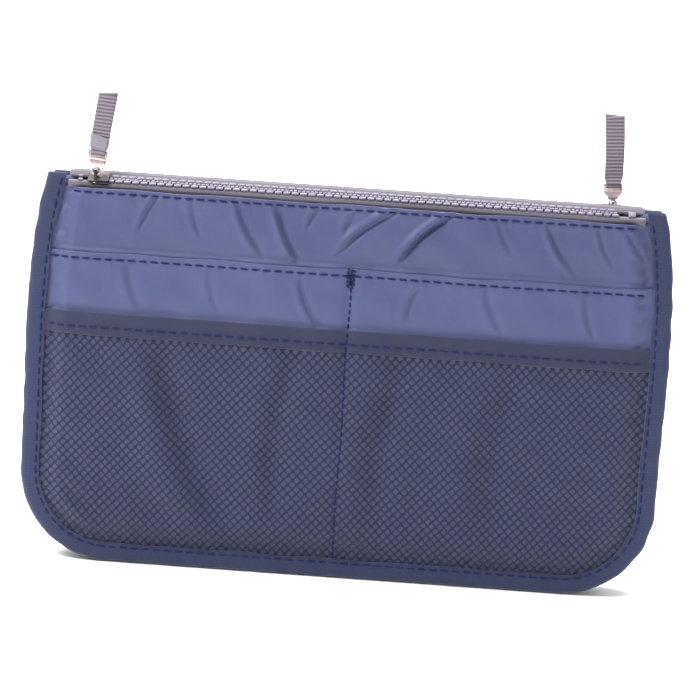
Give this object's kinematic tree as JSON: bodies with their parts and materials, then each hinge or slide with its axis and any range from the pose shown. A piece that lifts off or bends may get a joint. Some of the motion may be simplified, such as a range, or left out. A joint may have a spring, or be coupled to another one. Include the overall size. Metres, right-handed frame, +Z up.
{
  "type": "zipped organizer insert",
  "caption": "Flat nylon travel organizer insert: two zipped pouches with slip and net pockets, bound edges, ribbon zip pulls and an open middle that folds out.",
  "frame": {"origin": "on the ground plane under the middle of the closed insert, midway between its two pouches", "axes": "+X along the zips, to the right seen from the front; -Y out of the front pouch; +Z up, from the bound bottom to the zips"},
  "size_m": [0.28, 0.0268, 0.2084],
  "materials": {
    "shell_nylon": "satin",
    "pocket_nylon": "satin",
    "lining_nylon": "satin",
    "pocket_net": "matte",
    "net_band": "matte",
    "edge_binding_tape": "matte",
    "zip_tape": "matte",
    "zip_resin": "satin",
    "zip_nickel": "polished",
    "pull_ribbon_webbing": "matte"
  },
  "bodies": {
    "front_pouch": {"front_inner_panel": "lining_nylon", "front_outer_panel": "shell_nylon", "front_slip_pocket": "pocket_nylon", "front_mesh_pocket": "pocket_net", "front_mesh_pocket_band": "net_band", "front_edge_binding": "edge_binding_tape", "front_zip_tape_outer": "zip_tape", "front_zip_tape_inner": "zip_tape", "front_zip_teeth_outer": "zip_resin", "front_zip_teeth_inner": "zip_resin", "front_zip_top_stop_outer": "zip_resin", "front_zip_top_stop_inner": "zip_resin", "front_zip_bottom_stop": "zip_resin", "gusset": "lining_nylon"},
    "front_slider": {"front_slider_body": "zip_nickel"},
    "front_tab": {"front_pull_tab": "zip_nickel"},
    "front_ribbon": {"front_pull_ribbon": "pull_ribbon_webbing"},
    "rear_pouch": {"rear_inner_panel": "lining_nylon", "rear_outer_panel": "shell_nylon", "rear_slip_pocket": "pocket_nylon", "rear_mesh_pocket": "pocket_net", "rear_mesh_pocket_band": "net_band", "rear_edge_binding": "edge_binding_tape", "rear_zip_tape_outer": "zip_tape", "rear_zip_tape_inner": "zip_tape", "rear_zip_teeth_outer": "zip_resin", "rear_zip_teeth_inner": "zip_resin", "rear_zip_top_stop_outer": "zip_resin", "rear_zip_top_stop_inner": "zip_resin", "rear_zip_bottom_stop": "zip_resin"},
    "rear_slider": {"rear_slider_body": "zip_nickel"},
    "rear_tab": {"rear_pull_tab": "zip_nickel"},
    "rear_ribbon": {"rear_pull_ribbon": "pull_ribbon_webbing"}
  },
  "joints": [
    {"name": "expand", "type": "slide", "parent": "front_pouch", "child": "rear_pouch", "axis": [0, 1, 0], "range_m": [0, 0.052], "deforming": ["gusset"]},
    {"name": "front_zip", "type": "slide", "parent": "front_pouch", "child": "front_slider", "axis": [1, 0, 0], "range_m": [0, 0.221], "deforming": ["front_zip_teeth_outer", "front_zip_teeth_inner"]},
    {"name": "front_tab_swing", "type": "hinge", "parent": "front_slider", "child": "front_tab", "pos_m": [-0.1115, -0.0098, 0.1722], "axis": [0, 1, 0], "range_deg": [-68, 60]},
    {"name": "front_ribbon_fold", "type": "hinge", "parent": "front_tab", "child": "front_ribbon", "pos_m": [-0.11093, -0.0098, 0.18038], "axis": [0.9976, 0, -0.0698], "range_deg": [-80, 80]},
    {"name": "rear_zip", "type": "slide", "parent": "rear_pouch", "child": "rear_slider", "axis": [-1, 0, 0], "range_m": [0, 0.221], "deforming": ["rear_zip_teeth_outer", "rear_zip_teeth_inner"]},
    {"name": "rear_tab_swing", "type": "hinge", "parent": "rear_slider", "child": "rear_tab", "pos_m": [0.1115, 0.0098, 0.1722], "axis": [0, -1, 0], "range_deg": [-68, 60]},
    {"name": "rear_ribbon_fold", "type": "hinge", "parent": "rear_tab", "child": "rear_ribbon", "pos_m": [0.11093, 0.0098, 0.18038], "axis": [-0.9976, 0, -0.0698], "range_deg": [-80, 80]}
  ]
}
